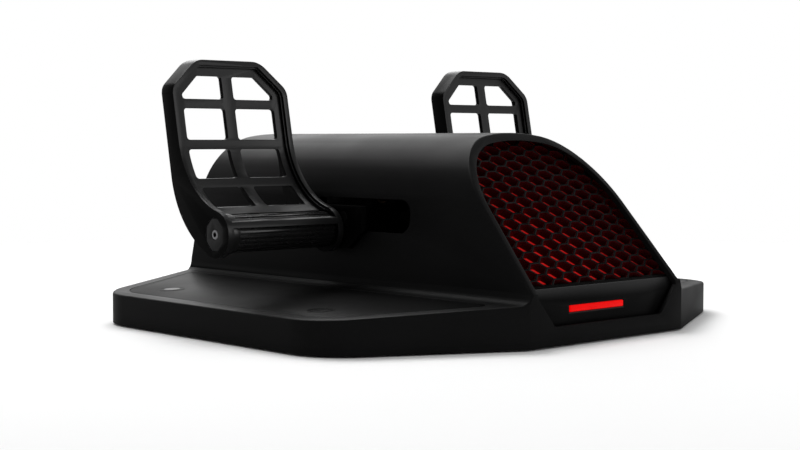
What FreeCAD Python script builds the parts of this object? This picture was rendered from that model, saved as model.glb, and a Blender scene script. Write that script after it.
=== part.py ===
import FreeCAD, Part
import math
import os
import re

import Sketcher
from FreeCAD import Placement, Rotation, Vector

# Flight rudder pedals. Millimetres, +Z up. X is the user's right, and the user sits at -Y.
# The origin is on the floor, under the middle of the base.

doc = FreeCAD.newDocument("RudderPedals")

# Driving dimensions

SIZES = {
    # Base shell
    "base_width": 450,
    "base_depth": 420,
    "front_wall_width": 176,
    "rear_wall_width": 176,
    "front_apex_depth": 72.5,
    "rear_apex_depth": 71,
    "apex_radius": 53,
    "foot_height": 1.5,
    "deck_edge_height": 26,
    "deck_crown_height": 33,
    "deck_edge_round": 2,
    "shell_wall": 3,
    # Hump
    "hump_height": 156.3,
    "crown_radius": 200,
    "shoulder_radius": 60,
    "shoulder_offset": 22,
    "side_lean": 4.5,
    "hump_foot_fillet": 9,
    "front_wall_height": 40,
    "front_lean": 41.3,
    "rear_wall_height": 42.6,
    "rear_lean": 9.4,
    "front_rim_round": 2.5,
    # Front opening, grille and chin panel
    "rim_width": 6,
    "front_wall_thickness": 6,
    "slant_wall_thickness": 4.5,
    "opening_corner_round": 4,
    "chin_bottom_height": 15.5,
    "chin_bottom_width": 124,
    "chin_corner_height": 37,
    "chin_corner_width": 160,
    "chin_fold_height": 35.5,
    "ledge_height": 43,
    "chin_plate": 2.5,
    "grille_depth": 7,
    "grille_column_pitch": 14.5,
    "grille_row_pitch": 10.4,
    "grille_first_row": 5,
    "grille_bar": 1.5,
    "grille_fit": 0.4,
    "glow_panel_fit": 0.6,
    "glow_panel_thickness": 2,
    "lamp_gap": 10,
    "lamp_board_width": 120,
    "lamp_board_height": 70,
    "lamp_board_start": 22,
    "lamp_columns": 6,
    "lamp_rows": 3,
    "lamp_pitch": 20,
    "lamp_width": 5,
    "lamp_height": 1.6,
    "lamp_post_radius": 3.5,
    "lamp_post_margin": 7,
    "board_thickness": 1.6,
    "light_bar_width": 62,
    "light_bar_height": 5,
    "light_bar_offset": 8,
    "light_bar_level": 26.5,
    # Slots
    "slot_front": 131.5,
    "slot_rear": 286.3,
    "slot_bottom": 77.5,
    "slot_top": 104,
    "slot_corner": 11,
    # Heel pads
    "pad_border": 14,
    "pad_inner": 102,
    "pad_thickness": 1.5,
    "pad_groove": 0.6,
    "pad_corner_round": 8,
    # Bottom
    "bottom_plate_thickness": 3,
    "bottom_plate_fit": 0.3,
    "foot_radius": 12,
    "foot_side_margin": 29,
    "foot_front_margin": 105,
    "foot_rear_margin": 75,
    "middle_foot_place": 70,
    "middle_foot_margin": 22,
    "boss_radius": 4.5,
    "boss_side_margin": 25,
    "boss_side_front": 130,
    "boss_side_rear": 100,
    "boss_hump_margin": 24,
    "boss_corner_front": 45,
    "boss_corner_rear": 35,
    "boss_root": 0.5,
    "screw_radius": 1.5,
    "screw_fit": 0.1,
    "screw_clearance": 0.3,
    "screw_head_radius": 3,
    "screw_head_height": 1.1,
    # Guide rods and brackets
    "rod_radius": 5,
    "rod_spread": 58,
    "lower_rod_height": 64,
    "upper_rod_drop": 50.3,
    "bracket_front": 110,
    "bracket_rear": 322,
    "bracket_thickness": 8,
    "bracket_width": 140,
    "bracket_cover": 10,
    "bracket_corner": 8,
    "rod_overhang": 3,
    "running_fit": 0.05,
    "seat_gap": 0.2,
    # Slide blocks and arms
    "axle_from_front": 218.3,
    "axle_height": 78.4,
    "block_inner": 46,
    "block_outer": 70,
    "block_length": 56,
    "block_cover": 3,
    "bush_wall": 2,
    "slide_bush_length": 14,
    "arm_front_reach": 41.3,
    "arm_rear_reach": 22.5,
    "arm_bottom": 78.9,
    "arm_top": 98,
    "hub_inner": 85.4,
    "hub_outer": 90.5,
    "hub_drop": 15,
    "hub_foot_length": 44,
    "arm_corner_round": 4,
    "arm_screw_spread": 32,
    "arm_screw_radius": 3,
    "arm_screw_depth": 16,
    "arm_screw_head": 5,
    "arm_screw_head_height": 1.8,
    "arm_screw_recess": 2.1,
    # Pinion and racks
    "gear_module": 1.5,
    "gear_teeth": 48,
    "gear_bottom": 84,
    "gear_thickness": 8,
    "backlash": 0.15,
    "rack_length": 100,
    "rack_end": 2,
    "pinion_shaft_radius": 5,
    "pinion_shaft_bottom": 16,
    "pinion_shaft_top": 98,
    "pinion_hub_radius": 14,
    "pinion_hub_gap": 0.5,
    "column_radius": 20,
    "column_top": 80,
    "column_flange_radius": 30,
    "column_flange_height": 6,
    "column_bore": 9,
    "column_recess": 14,
    "lower_bearing_level": 22,
    "bearing_radius": 11,
    "bearing_width": 7,
    "magnet_radius": 4,
    "magnet_height": 4,
    "sensor_board_radius": 13,
    # Springs
    "centring_spring_radius": 7.6,
    "centring_wire": 1.8,
    "centring_turns": 9,
    "toe_spring_radius": 7.2,
    "toe_wire": 1.2,
    "toe_turns": 10,
    "toe_spring_place": 28.7,
    "toe_spring_length": 30,
    # Pedals
    "pedal_inner": 91.3,
    "pedal_width": 114.2,
    "pedal_top_rise": 136.6,
    "pedal_top_reach": 59.2,
    "pedal_bend_rise": 27.7,
    "pedal_bend_reach": 38.2,
    "pedal_bend_radius": 70,
    "pedal_back_reach": 75,
    "pedal_heel_rise": 7.4,
    "pedal_heel_reach": 50.3,
    "pedal_heel_radius": 79,
    "pedal_boss_radius": 18.2,
    "pedal_top_width": 62.6,
    "pedal_cut_rise": 113.5,
    "pedal_corner_round": 12,
    "pedal_edge_round": 1.5,
    "lip_width": 4.5,
    "lip_step_depth": 2.2,
    "lip_step_width": 1.4,
    "tray_start": 10,
    "plate_recess": 5,
    "plate_thickness": 4,
    "cheek_thickness": 5.5,
    "window_outer": 45.1,
    "window_inner": 5,
    "window_corner": 2.5,
    "window_top_outer": 29,
    "first_window_low": 19.8,
    "first_window_high": 34.9,
    "second_window_low": 41.7,
    "second_window_high": 64.7,
    "third_window_low": 72.4,
    "third_window_high": 97.3,
    "fourth_window_low": 104.9,
    "fourth_window_cut": 108.6,
    "fourth_window_high": 123.4,
    "axle_radius": 6,
    "axle_end_gap": 0.5,
    "bar_radius": 14.5,
    "bar_bore_radius": 10,
    "bar_groove_count": 24,
    "bar_groove_depth": 1.1,
    "bar_groove_width": 1.9,
    "collar_width": 8,
    "collar_radius": 15.5,
    "axle_bush_length": 15,
    "axle_bush_setback": 0.4,
    "axle_bush_margin": 1,
    "axle_insert_gap": 5.5,
    "end_plate_width": 21.5,
    "end_plate_height": 25,
    "end_plate_cut": 6.8,
    "end_plate_round": 4,
    "end_plate_thickness": 3,
    "end_recess": 3.2,
    "end_insert_length": 9,
    "end_screw_head": 3.7,
    "end_screw_head_height": 1.5,
    "end_screw_head_setback": 0.3,
    "end_screw_radius": 2.1,
    "end_screw_depth": 6,
    # Electronics
    "main_board_width": 90,
    "main_board_gap": 15,
    "main_board_margin": 14,
    "board_post_radius": 3,
    "board_post_margin": 7,
    "usb_width": 12,
    "usb_height": 11,
    "usb_depth": 15.5,
    "usb_wall": 1.5,
    "usb_mouth_depth": 11,
    "port_width": 44,
    "port_height": 15,
    "port_level": 15,
    "port_plate_border": 3,
    "port_plate_thickness": 2,
}

# Places worked out from the sizes above

DERIVED = {
    "front_y": "-base_depth / 2",
    "rear_y": "base_depth / 2",
    "axle_y": "front_y + axle_from_front",
    "floor_top": "foot_height + bottom_plate_thickness",
    "pitch_radius": "gear_module * gear_teeth / 2",
    "bracket_front_y": "front_y + bracket_front",
    "bracket_rear_y": "front_y + bracket_rear",
    "pedal_outer": "pedal_inner + pedal_width",
    "pedal_middle": "pedal_inner + pedal_width / 2",
    "bar_start": "pedal_inner + cheek_thickness",
    "bar_end": "pedal_outer - cheek_thickness",
    "collar_start": "bar_end - collar_width",
    "axle_start": "hub_inner + axle_end_gap",
    "axle_end": "bar_end - end_insert_length - axle_insert_gap",
    "toe_spring_start": "pedal_inner + toe_spring_place",
    "upper_rod_height": "hump_height - upper_rod_drop",
    "bracket_height": "upper_rod_height + rod_radius + bracket_cover",
    "block_top": "upper_rod_height + rod_radius + bush_wall + block_cover",
    "block_bottom": "lower_rod_height - rod_radius - bush_wall - block_cover",
    "arm_front": "axle_y - arm_front_reach",
    "arm_rear": "axle_y + arm_rear_reach",
    "crown_drop": "sqrt((crown_radius - shoulder_radius)^2 - shoulder_offset^2)",
    "side_top_height": "hump_height - crown_radius + crown_drop + shoulder_radius * sin(side_lean)",
    "side_top_place": "shoulder_offset + shoulder_radius * cos(side_lean)",
    "ledge_place": "side_top_place + (side_top_height - ledge_height) * tan(side_lean)",
    "chin_half": "ledge_place - shell_wall / cos(side_lean) - seat_gap",
}

sheet = doc.addObject("Spreadsheet::Sheet", "Sizes")
for row, (alias, value) in enumerate(SIZES.items(), start=1):
    sheet.set(f"A{row}", alias.replace("_", " "))
    sheet.set(f"B{row}", str(value))
    sheet.setAlias(f"B{row}", alias)
doc.recompute()


def linked(text):
    """An expression in the sizes' names, as the sheet's own cells."""

    def swap(match):
        word = match.group()
        if word in DERIVED:
            return f"({linked(DERIVED[word])})"
        return f"Sizes.{word}" if word in SIZES else word

    return re.sub(r"[a-z][a-z_]+", swap, str(text))


def number(text):
    """The value of an expression in the sizes' names."""
    return float(sheet.evalExpression(linked(text)))


# Sub-parts are collected here under the name of their file

pieces = {}


def keep(name, item):
    item.Label = name
    pieces[name] = item
    return item


AXES = {"x": Vector(1, 0, 0), "y": Vector(0, 1, 0), "z": Vector(0, 0, 1)}
ALONG = {
    "x": Rotation(Vector(0, 1, 0), 90),
    "y": Rotation(Vector(1, 0, 0), -90),
    "z": Rotation(),
}


def box(name, x, y, z):
    """A block between pairs of places, given as (low, high) on each axis."""
    solid = doc.addObject("Part::Box", name)
    for axis, side, (low, high) in zip("xyz", ("Length", "Width", "Height"), (x, y, z)):
        solid.setExpression(side, linked(f"({high}) - ({low})"))
        solid.setExpression(f".Placement.Base.{axis}", linked(low))
    return solid


def rod(name, axis, radius, low, high, centre):
    """A round bar along an axis from low to high. centre gives the other two places, in X, Y, Z order."""
    solid = doc.addObject("Part::Cylinder", name)
    solid.Placement = Placement(Vector(), ALONG[axis])
    solid.setExpression("Radius", linked(radius))
    solid.setExpression("Height", linked(f"({high}) - ({low})"))
    solid.setExpression(f".Placement.Base.{axis}", linked(low))
    for other, place in zip([a for a in "xyz" if a != axis], centre):
        solid.setExpression(f".Placement.Base.{other}", linked(place))
    return solid


def fuse(name, *items):
    joined = doc.addObject("Part::MultiFuse", name)
    joined.Shapes = list(items)
    return joined


def cut(name, base, *tools):
    result = doc.addObject("Part::Cut", name)
    result.Base = base
    result.Tool = tools[0] if len(tools) == 1 else fuse(name + "_tools", *tools)
    return result


def tube(name, axis, outer, inner, low, high, centre):
    skin = rod(name + "_outside", axis, outer, low, high, centre)
    bore = rod(name + "_bore", axis, inner, f"({low}) - 1", f"({high}) + 1", centre)
    return cut(name, skin, bore)


def group(name, items):
    """Like pieces that share one node, as separate solids."""
    together = doc.addObject("Part::Compound", name)
    together.Links = items
    return together


def shaped(name, shape):
    item = doc.addObject("Part::Feature", name)
    item.Shape = shape
    return item


def sketch_on(body, name, plane, level):
    """A sketch on one of the body's own origin planes, moved to a level along that plane's axis."""
    sketch = body.newObject("Sketcher::SketchObject", name)
    face = [item for item in body.Origin.OriginFeatures if item.Role == f"{plane}_Plane"][0]
    sketch.AttachmentSupport = [(face, "")]
    sketch.MapMode = "FlatFace"
    turned = "-" if plane == "XZ" else ""
    sketch.setExpression(".AttachmentOffset.Base.z", linked(f"{turned}({level})"))
    return sketch


def hold(sketch, kind, geometry, point, place):
    index = sketch.addConstraint(Sketcher.Constraint(kind, -1, 1, geometry, point, number(place)))
    sketch.setExpression(f"Constraints[{index}]", linked(place))


def draw(sketch, outline, holes=()):
    """A closed outline of straight lines with every corner held, and round holes."""
    corners = [Vector(number(u), number(v), 0) for u, v in outline]
    for start, end in zip(corners, corners[1:] + corners[:1]):
        sketch.addGeometry(Part.LineSegment(start, end))
    count = len(corners)
    for index in range(count):
        sketch.addConstraint(Sketcher.Constraint("Coincident", index, 2, (index + 1) % count, 1))
    for index, (u, v) in enumerate(outline):
        hold(sketch, "DistanceX", index, 1, u)
        hold(sketch, "DistanceY", index, 1, v)
    for u, v, radius in holes:
        middle = Vector(number(u), number(v), 0)
        circle = sketch.addGeometry(Part.Circle(middle, Vector(0, 0, 1), number(radius)))
        hold(sketch, "DistanceX", circle, 3, u)
        hold(sketch, "DistanceY", circle, 3, v)
        index = sketch.addConstraint(Sketcher.Constraint("Radius", circle, number(radius)))
        sketch.setExpression(f"Constraints[{index}]", linked(radius))


def pad(body, name, plane, outline, low, high, holes=()):
    """Material between two levels along the plane's axis."""
    level = high if plane == "XZ" else low
    sketch = sketch_on(body, name + "_sketch", plane, level)
    draw(sketch, outline, holes)
    feature = body.newObject("PartDesign::Pad", name)
    feature.Profile = sketch
    feature.setExpression("Length", linked(f"({high}) - ({low})"))
    return feature


NORMALS = {"XY": "z", "XZ": "y", "YZ": "x"}


def plate(name, plane, outline, low, high, holes=(), corner=None):
    """A flat piece with an outline, round holes and, where given, rounded corners."""
    body = doc.addObject("PartDesign::Body", name)
    base = pad(body, name + "_pad", plane, outline, low, high, holes)
    if corner:
        doc.recompute()
        normal = AXES[NORMALS[plane]]
        edges = [
            f"Edge{index}"
            for index, edge in enumerate(base.Shape.Edges, start=1)
            if edge.Curve.TypeId == "Part::GeomLine"
            and edge.tangentAt(edge.FirstParameter).cross(normal).Length < 1e-6
            and edge.firstVertex().Point.distanceToPoint(edge.lastVertex().Point) > 1e-3
        ]
        rounding = body.newObject("PartDesign::Fillet", name + "_corners")
        rounding.Base = (base, edges)
        rounding.setExpression("Radius", linked(corner))
    return body


def rectangle(x, y):
    (left, right), (low, high) = x, y
    return [(left, low), (right, low), (right, high), (left, high)]


def drill(body, name, plane, level, holes, depth=None):
    """Round holes both ways from the level, through everything or to a depth."""
    sketch = sketch_on(body, name + "_sketch", plane, level)
    for u, v, radius in holes:
        middle = Vector(number(u), number(v), 0)
        circle = sketch.addGeometry(Part.Circle(middle, Vector(0, 0, 1), number(radius)))
        hold(sketch, "DistanceX", circle, 3, u)
        hold(sketch, "DistanceY", circle, 3, v)
        index = sketch.addConstraint(Sketcher.Constraint("Radius", circle, number(radius)))
        sketch.setExpression(f"Constraints[{index}]", linked(radius))
    feature = body.newObject("PartDesign::Pocket", name)
    feature.Profile = sketch
    feature.Type = "Length" if depth else "ThroughAll"
    feature.Midplane = True
    if depth:
        feature.setExpression("Length", linked(f"2 * {depth}"))
    return feature


# Outlines with round corners, for the forms that boxes and flat plates can't give


def rounded(points, radii, closed=True):
    """Lines and tangent arcs through corner points, with a radius at each corner."""
    count = len(points)
    starts, ends, arcs = [], [], []
    for index, (point, radius) in enumerate(zip(points, radii)):
        if radius <= 0 or (not closed and index in (0, count - 1)):
            starts.append(point)
            ends.append(point)
            arcs.append(None)
            continue
        before = (points[index - 1] - point).normalize()
        after = (points[(index + 1) % count] - point).normalize()
        half = before.getAngle(after) / 2
        reach = radius / math.tan(half)
        inward = (before + after).normalize()
        middle = point + inward * (radius / math.sin(half) - radius)
        starts.append(point + before * reach)
        ends.append(point + after * reach)
        arcs.append(middle)
    edges = []
    for index in range(count):
        if arcs[index] is not None:
            edges.append(Part.Arc(starts[index], arcs[index], ends[index]).toShape())
        following = (index + 1) % count
        if (closed or following) and ends[index].distanceToPoint(starts[following]) > 1e-6:
            edges.append(Part.makeLine(ends[index], starts[following]))
    return Part.Wire(edges)


def prism(wire, direction):
    return Part.Face(wire).extrude(direction)


def on_xy(points, z):
    return [Vector(x, y, z) for x, y in points]


def on_xz(points, y):
    return [Vector(x, y, z) for x, z in points]


def on_yz(points, x):
    return [Vector(x, y, z) for y, z in points]


# Form of the base: a plan with angled corners, and one section all along it

WIDTH = number("base_width")
DEPTH = number("base_depth")
FRONT_Y = number("front_y")
REAR_Y = number("rear_y")
HUMP = number("hump_height")
LEAN = math.radians(number("side_lean"))
ABOVE = HUMP + 10


def plan_prism(inset, low, high):
    """The base's plan, drawn in by inset on every side."""
    front = number("front_wall_width") / 2
    rear = number("rear_wall_width") / 2
    front_turn = math.atan2(number("front_apex_depth"), WIDTH / 2 - front)
    rear_turn = math.atan2(number("rear_apex_depth"), WIDTH / 2 - rear)
    side = WIDTH / 2 - inset
    front_x = front - inset * math.tan(front_turn / 2)
    rear_x = rear - inset * math.tan(rear_turn / 2)
    front_apex = FRONT_Y + inset + (side - front_x) * math.tan(front_turn)
    rear_apex = REAR_Y - inset - (side - rear_x) * math.tan(rear_turn)
    right = [(front_x, FRONT_Y + inset), (side, front_apex), (side, rear_apex), (rear_x, REAR_Y - inset)]
    left = [(-x, y) for x, y in reversed(right)]
    radius = number("apex_radius") - inset
    wire = rounded(on_xy(right + left, low), [0, radius, radius, 0, 0, radius, radius, 0])
    return prism(wire, Vector(0, 0, high - low))


def deck_height(x):
    """Height of the deck at a distance from the middle: it falls from the hump to the sides."""
    crown = number("deck_crown_height")
    edge = number("deck_edge_height")
    hump = number("front_wall_width") / 2
    return crown - (x - hump) * (crown - edge) / (WIDTH / 2 - hump)


def section_prism(inset, bottom, with_deck=True):
    """The hump's section, with the decks beside it, drawn in by inset and run along the base."""
    shoulder = number("shoulder_radius")
    crown = number("crown_radius")
    offset = number("shoulder_offset")
    crown_z = HUMP - crown
    shoulder_z = crown_z + math.sqrt((crown - shoulder) ** 2 - offset**2)
    small = shoulder - inset
    large = crown - inset
    side_top = Vector(offset + small * math.cos(LEAN), FRONT_Y, shoulder_z + small * math.sin(LEAN))
    side_turn = math.pi / 2 - math.asin(offset / (crown - shoulder))
    middle_turn = (LEAN + side_turn) / 2
    shoulder_mid = Vector(offset + small * math.cos(middle_turn), FRONT_Y, shoulder_z + small * math.sin(middle_turn))
    shoulder_end = Vector(offset + small * math.cos(side_turn), FRONT_Y, shoulder_z + small * math.sin(side_turn))
    top = Vector(0, FRONT_Y, crown_z + large)
    mirrored = lambda point: Vector(-point.x, point.y, point.z)
    outside = WIDTH / 2 + 10
    if with_deck:
        slope = (deck_height(outside) - inset - (deck_height(0) - inset)) / outside
        foot_x = (side_top.x + (side_top.z - deck_height(0) + inset) * math.tan(LEAN)) / (1 + slope * math.tan(LEAN))
        foot = Vector(foot_x, FRONT_Y, deck_height(foot_x) - inset)
        deck_end = Vector(outside, FRONT_Y, deck_height(outside) - inset)
        under = Vector(outside, FRONT_Y, bottom)
        right = [under, deck_end, foot]
    else:
        right = [Vector(side_top.x + (side_top.z - bottom) * math.tan(LEAN), FRONT_Y, bottom)]
    edges = [Part.makeLine(a, b) for a, b in zip(right, right[1:])]
    edges.append(Part.makeLine(right[-1], side_top))
    edges.append(Part.Arc(side_top, shoulder_mid, shoulder_end).toShape())
    edges.append(Part.Arc(shoulder_end, top, mirrored(shoulder_end)).toShape())
    edges.append(Part.Arc(mirrored(shoulder_end), mirrored(shoulder_mid), mirrored(side_top)).toShape())
    left = [mirrored(side_top)] + [mirrored(point) for point in reversed(right)]
    edges += [Part.makeLine(a, b) for a, b in zip(left, left[1:])]
    edges.append(Part.makeLine(left[-1], right[0]))
    solid = prism(Part.Wire(edges), Vector(0, DEPTH, 0))
    if not with_deck:
        return solid
    fillet = number("hump_foot_fillet") + inset
    creases = [
        edge
        for edge in solid.Edges
        if abs(abs(edge.CenterOfMass.x) - foot.x) < 0.01 and abs(edge.CenterOfMass.z - foot.z) < 0.01
    ]
    return solid.makeFillet(fillet, creases)


def slant_cutter(end, wall_height, lean, inset_across, inset_level):
    """What lies in front of, or behind, the leaning face at one end of the hump."""
    turn = 1 if end < 0 else -1
    tangent = math.tan(math.radians(lean))
    face = end + turn * (inset_across / math.cos(math.radians(lean)))
    face_top = face + turn * (ABOVE - wall_height) * tangent
    wall = end + turn * inset_level
    bend_z = wall_height + (wall - face) * turn / tangent
    beyond = end - turn * DEPTH
    points = [(wall, bend_z), (face_top, ABOVE), (beyond, ABOVE), (beyond, bend_z)]
    return prism(rounded(on_yz(points, -WIDTH), [0] * 4), Vector(2 * WIDTH, 0, 0))


def front_cutter(across, level):
    return slant_cutter(FRONT_Y, number("front_wall_height"), number("front_lean"), across, level)


def rear_cutter(across, level):
    return slant_cutter(REAR_Y, number("rear_wall_height"), number("rear_lean"), across, level)


def envelope(inset, front_inset, slant_inset, bottom):
    """The whole base as one solid, drawn in by inset, with its own insets at the front."""
    solid = section_prism(inset, bottom).common(plan_prism(inset, bottom, ABOVE))
    solid = solid.cut(front_cutter(slant_inset, front_inset))
    return solid.cut(rear_cutter(inset, inset))


def top_edges(solid):
    """The deck's outer edge: where the outside walls meet the deck."""
    found = []
    limit = number("deck_crown_height") + 0.5
    for edge in solid.Edges:
        middle = edge.valueAt((edge.FirstParameter + edge.LastParameter) / 2)
        if abs(middle.x) < number("front_wall_width") / 2 + 3 or middle.z > limit:
            continue
        if abs(middle.z - deck_height(abs(middle.x))) > 0.05:
            continue
        ends = [vertex.Point for vertex in edge.Vertexes]
        if any(abs(p.z - deck_height(abs(p.x))) > 0.05 for p in ends):
            continue
        if abs(middle.x) < WIDTH / 2 - 1 and abs(ends[0].x - ends[-1].x) < 0.01:
            continue
        found.append(edge)
    return found


def rim_waste():
    """What rounding takes off the hump's edge round its leaning front."""
    lean = number("front_lean")
    slope = math.tan(math.radians(lean))
    foot_y = FRONT_Y - number("front_wall_height") * slope
    hump = section_prism(0, 0, with_deck=False).cut(slant_cutter(foot_y, 0, lean, 0, 0))
    edges = []
    for edge in hump.Edges:
        ends = [edge.valueAt(edge.FirstParameter), edge.valueAt(edge.LastParameter)]
        on_face = all(abs(p.y - foot_y - p.z * slope) < 0.01 for p in ends)
        if on_face and max(p.z for p in ends) > 1:
            edges.append(edge)
    return hump.cut(hump.makeFillet(number("front_rim_round"), edges))


WALL = number("shell_wall")
outside = envelope(0, 0, 0, number("foot_height"))
cavity = envelope(WALL, number("front_wall_thickness"), number("slant_wall_thickness"), -1)

# Base shell: one moulding, open underneath and at the front

opening_profile = [
    (number("chin_bottom_width") / 2, number("chin_bottom_height")),
    (number("chin_corner_width") / 2, number("chin_corner_height")),
    (WIDTH / 2, number("chin_corner_height") + 40),
    (WIDTH / 2, ABOVE),
]
opening_outline = opening_profile + [(-x, z) for x, z in reversed(opening_profile)]
corner = number("opening_corner_round")
opening_cut = prism(
    rounded(on_xz(opening_outline, FRONT_Y - 1), [corner, corner, 0, 0, 0, 0, corner, corner]),
    Vector(0, DEPTH / 2, 0),
)
opening = section_prism(number("rim_width"), 0, with_deck=False).common(opening_cut)

slot_outline = [
    (FRONT_Y + number("slot_front"), number("slot_bottom")),
    (FRONT_Y + number("slot_rear"), number("slot_bottom")),
    (FRONT_Y + number("slot_rear"), number("slot_top")),
    (FRONT_Y + number("slot_front"), number("slot_top")),
]
slots = prism(
    rounded(on_yz(slot_outline, -WIDTH / 2), [number("slot_corner")] * 4),
    Vector(WIDTH, 0, 0),
)


def pad_prism(inset):
    """Plan of the right heel pad, drawn in from the deck's edge."""
    inner = number("pad_inner") + (inset - number("pad_border"))
    region = Part.makeBox(WIDTH / 2, DEPTH, ABOVE, Vector(inner, FRONT_Y, 0))
    solid = plan_prism(inset, 1, ABOVE).common(region)
    corners = [
        edge
        for edge in solid.Edges
        if abs(edge.CenterOfMass.x - inner) < 0.01 and len(edge.Vertexes) == 2
        and abs(edge.Vertexes[0].Z - edge.Vertexes[1].Z) > 10
    ]
    return solid.makeFillet(number("pad_corner_round"), corners)


def deck_band(low, high):
    """A layer that follows the right deck, between two heights over it."""
    inner = WIDTH / 8
    outer = WIDTH
    points = [
        (inner, deck_height(inner) + low),
        (outer, deck_height(outer) + low),
        (outer, deck_height(outer) + high),
        (inner, deck_height(inner) + high),
    ]
    return prism(rounded(on_xz(points, FRONT_Y), [0] * 4), Vector(0, DEPTH, 0))


def mirror(shape):
    return shape.mirror(Vector(0, 0, 0), Vector(1, 0, 0))


pad_depth = number("pad_thickness")
pad_recess = pad_prism(number("pad_border") - number("pad_groove")).common(deck_band(-pad_depth, 5))
pad_solid = pad_prism(number("pad_border")).common(deck_band(-pad_depth, 0))

shell = outside.makeFillet(number("deck_edge_round"), top_edges(outside))
shell = shell.cut(rim_waste())
shell = shell.cut(cavity)
shell = shell.cut(opening)
shell = shell.cut(slots)
shell = shell.cut(pad_recess).cut(mirror(pad_recess))

boss_side = WIDTH / 2 - number("boss_side_margin")
boss_corner = number("front_wall_width") / 2 + number("boss_hump_margin")
BOSSES = []
for side in (-1, 1):
    BOSSES.append((side * boss_side, FRONT_Y + number("boss_side_front")))
    BOSSES.append((side * boss_side, REAR_Y - number("boss_side_rear")))
    BOSSES.append((side * boss_corner, FRONT_Y + number("boss_corner_front")))
    BOSSES.append((side * boss_corner, REAR_Y - number("boss_corner_rear")))
FLOOR = number("floor_top")
FOOT = number("foot_height")


def boss_top(x):
    """Top of a screw boss, just inside the deck's wall."""
    return deck_height(abs(x)) - WALL + number("boss_root")


for x, y in BOSSES:
    boss = Part.makeCylinder(number("boss_radius"), boss_top(x) - FLOOR, Vector(x, y, FLOOR))
    hole = Part.makeCylinder(number("screw_radius"), boss_top(x) - WALL - FOOT, Vector(x, y, FOOT))
    shell = shell.fuse(boss).cut(hole)

port = Part.makeBox(
    number("port_width"),
    4 * WALL,
    number("port_height"),
    Vector(-number("port_width") / 2, REAR_Y - 2 * WALL, number("port_level - port_height / 2")),
)
shell = shell.cut(port)
keep("base_shell", shaped("base_shell", shell))

for name, shape in (("right_heel_pad", pad_solid), ("left_heel_pad", mirror(pad_solid))):
    keep(name, shaped(name, shape))


# Grille, in the leaning plane of the front. Its own flat frame: X across, Y up the slope, Z outwards

SLANT = Placement(
    Vector(0, FRONT_Y, number("front_wall_height")),
    Rotation(Vector(1, 0, 0), 90 - number("front_lean")),
)
RISE = math.cos(math.radians(number("front_lean")))


def slanted(shape):
    return shape.transformed(SLANT.toMatrix())


def slab(front, thickness):
    """A layer parallel to the leaning front, at a depth behind it."""
    return slanted(Part.makeBox(WIDTH, 2 * HUMP, thickness, Vector(-WIDTH / 2, -HUMP / 2, -front - thickness)))


def grille_layer(front, thickness, clearance, lift):
    """A layer behind the leaning front that fills the hump's inside, above the ledge."""
    inside = section_prism(WALL + clearance, 0, with_deck=False)
    above = Part.makeBox(WIDTH, DEPTH, ABOVE, Vector(-WIDTH / 2, FRONT_Y, number("ledge_height") + lift))
    return slab(front, thickness).common(inside).common(above)


seat = number("seat_gap")
grille_front = number("slant_wall_thickness")
grille_depth = number("grille_depth")
column = number("grille_column_pitch")
row = number("grille_row_pitch")
bar = number("grille_bar")


def cell(u, v):
    """One six-sided opening, pointing left and right, stretched across."""
    half_height = (row - bar) / 2
    tip = column * 2 / 3 - bar * 0.6
    flat = tip - column / 3
    points = [
        Vector(u - tip, v, 0),
        Vector(u - flat, v - half_height, 0),
        Vector(u + flat, v - half_height, 0),
        Vector(u + tip, v, 0),
        Vector(u + flat, v + half_height, 0),
        Vector(u - flat, v + half_height, 0),
    ]
    wire = Part.makePolygon(points + points[:1])
    wire.translate(Vector(0, 0, -grille_front - grille_depth - 1))
    return slanted(prism(wire, Vector(0, 0, grille_depth + 2)))


grille = grille_layer(grille_front + seat, grille_depth, number("grille_fit"), seat)
cells = []
half_columns = int(WIDTH / 4 / column)
rows = int(HUMP / RISE / row)
margin = section_prism(number("rim_width") - bar, 0, with_deck=False).common(
    Part.makeBox(WIDTH, DEPTH, ABOVE, Vector(-WIDTH / 2, FRONT_Y, number("ledge_height") + bar))
)
for column_index in range(-half_columns, half_columns + 1):
    for row_index in range(0, rows + 1):
        v = (row_index + 0.5 * (column_index % 2)) * row + number("grille_first_row")
        cells.append(cell(column_index * column, v))
holes = Part.makeCompound(cells).common(margin)
grille = grille.cut(holes)
keep("grille", shaped("grille", grille))

glow_front = grille_front + seat + grille_depth + seat
glow = grille_layer(glow_front, number("glow_panel_thickness"), number("glow_panel_fit"), seat)
keep("glow_panel", shaped("glow_panel", glow))

# Chin panel with its ledge, behind the front wall, and the plain light bar in it

panel_face = "front_y + front_wall_thickness"
ledge_front = "front_y + slant_wall_thickness / cos(front_lean) + (ledge_height - front_wall_height) * tan(front_lean)"
ledge_back = f"{ledge_front} + grille_depth / cos(front_lean)"
chin_outline = [
    (panel_face, "floor_top + seat_gap"),
    (panel_face, "chin_fold_height"),
    (ledge_front, "ledge_height"),
    (ledge_back, "ledge_height"),
    (ledge_back, "ledge_height - chin_plate"),
    (f"{ledge_front} + chin_plate / 2", "ledge_height - chin_plate"),
    (f"{panel_face} + chin_plate", "chin_fold_height - chin_plate / 2"),
    (f"{panel_face} + chin_plate", "floor_top + seat_gap"),
]
chin = doc.addObject("PartDesign::Body", "chin_panel")
pad(chin, "chin_profile", "YZ", chin_outline, "-chin_half", "chin_half")
bar_left = "-light_bar_offset - light_bar_width / 2"
bar_right = "-light_bar_offset + light_bar_width / 2"
bar_low = "light_bar_level - light_bar_height / 2"
bar_high = "light_bar_level + light_bar_height / 2"
doc.recompute()
bar_sketch = sketch_on(chin, "light_slot_sketch", "XZ", panel_face)
draw(bar_sketch, rectangle((bar_left, bar_right), (bar_low, bar_high)))
bar_slot = chin.newObject("PartDesign::Pocket", "light_slot")
bar_slot.Profile = bar_sketch
bar_slot.Type = "ThroughAll"
bar_slot.Midplane = True
keep("chin_panel", chin)
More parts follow.
